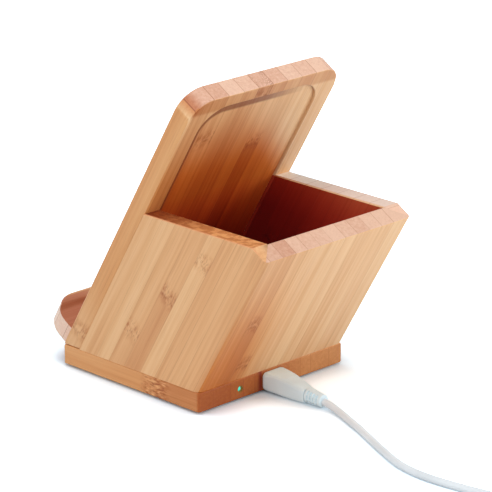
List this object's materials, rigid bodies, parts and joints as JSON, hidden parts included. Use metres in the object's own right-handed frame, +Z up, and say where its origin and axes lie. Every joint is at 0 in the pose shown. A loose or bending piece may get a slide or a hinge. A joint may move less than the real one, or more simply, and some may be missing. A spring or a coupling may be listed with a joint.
{
  "type": "wireless charger stand with pen box",
  "caption": "Bamboo phone stand with a wireless charging coil in its leaning plate, a pen box behind it and a micro USB cable.",
  "frame": {"origin": "on the desk, under the middle of the stand's box without its cable, the base's centre lying 12.6 mm in front of it", "axes": "+Z up, -Y towards the phone side, +X to the right for someone who looks at the phone"},
  "size_m": [0.088, 0.2972, 0.1409],
  "materials": {
    "bamboo": "sanded laminated bamboo strips with a thin satin oil",
    "black_plastic": "matt moulded plastic",
    "steel": "zinc plated",
    "plated_steel": "nickel plated sheet",
    "foot_rubber": "matt",
    "copper": "enamelled copper strand",
    "ferrite": "matt sintered sheet",
    "lead_sleeve": "enamelled litz wire",
    "circuit_board": "solder mask",
    "chip_black": "moulded epoxy",
    "ceramic": "sintered ceramic",
    "led_lens": "clear tinted lens",
    "cable_plastic": "satin moulded jacket"
  },
  "bodies": {
    "stand": {"base_board": "bamboo", "front_plate": "bamboo", "side_wall_left": "bamboo", "side_wall_right": "bamboo", "rear_wall": "bamboo", "phone_ledge": "bamboo", "coil_cover_panel": "bamboo", "base_cover": "black_plastic", "cover_screw_1": "steel", "cover_screw_2": "steel", "cover_screw_3": "steel", "cover_screw_4": "steel", "foot_front_left": "foot_rubber", "foot_front_right": "foot_rubber", "foot_rear_left": "foot_rubber", "foot_rear_right": "foot_rubber", "charging_coil": "copper", "ferrite_sheet": "ferrite", "coil_lead_inner": "lead_sleeve", "coil_lead_outer": "lead_sleeve", "circuit_board": "circuit_board", "card_screw_1": "steel", "card_screw_2": "steel", "controller_chip": "chip_black", "driver_chip": "chip_black", "input_choke": "ferrite", "tuning_capacitor_1": "ceramic", "tuning_capacitor_2": "ceramic", "tuning_capacitor_3": "ceramic", "usb_socket_shell": "plated_steel", "usb_socket_insulator": "black_plastic", "status_led": "led_lens"},
    "cable": {"usb_plug_body": "cable_plastic", "usb_plug_strain_relief": "cable_plastic", "usb_plug_tip": "plated_steel", "cord": "cable_plastic", "cord_coil": "cable_plastic", "type_a_strain_relief": "cable_plastic", "type_a_plug_body": "cable_plastic", "type_a_plug_shell": "plated_steel", "type_a_plug_tongue": "black_plastic"}
  },
  "joints": [
    {"name": "cable_unplug", "type": "slide", "parent": "stand", "child": "cable", "axis": [0, 1, 0], "range_m": [0, 0.012]}
  ]
}
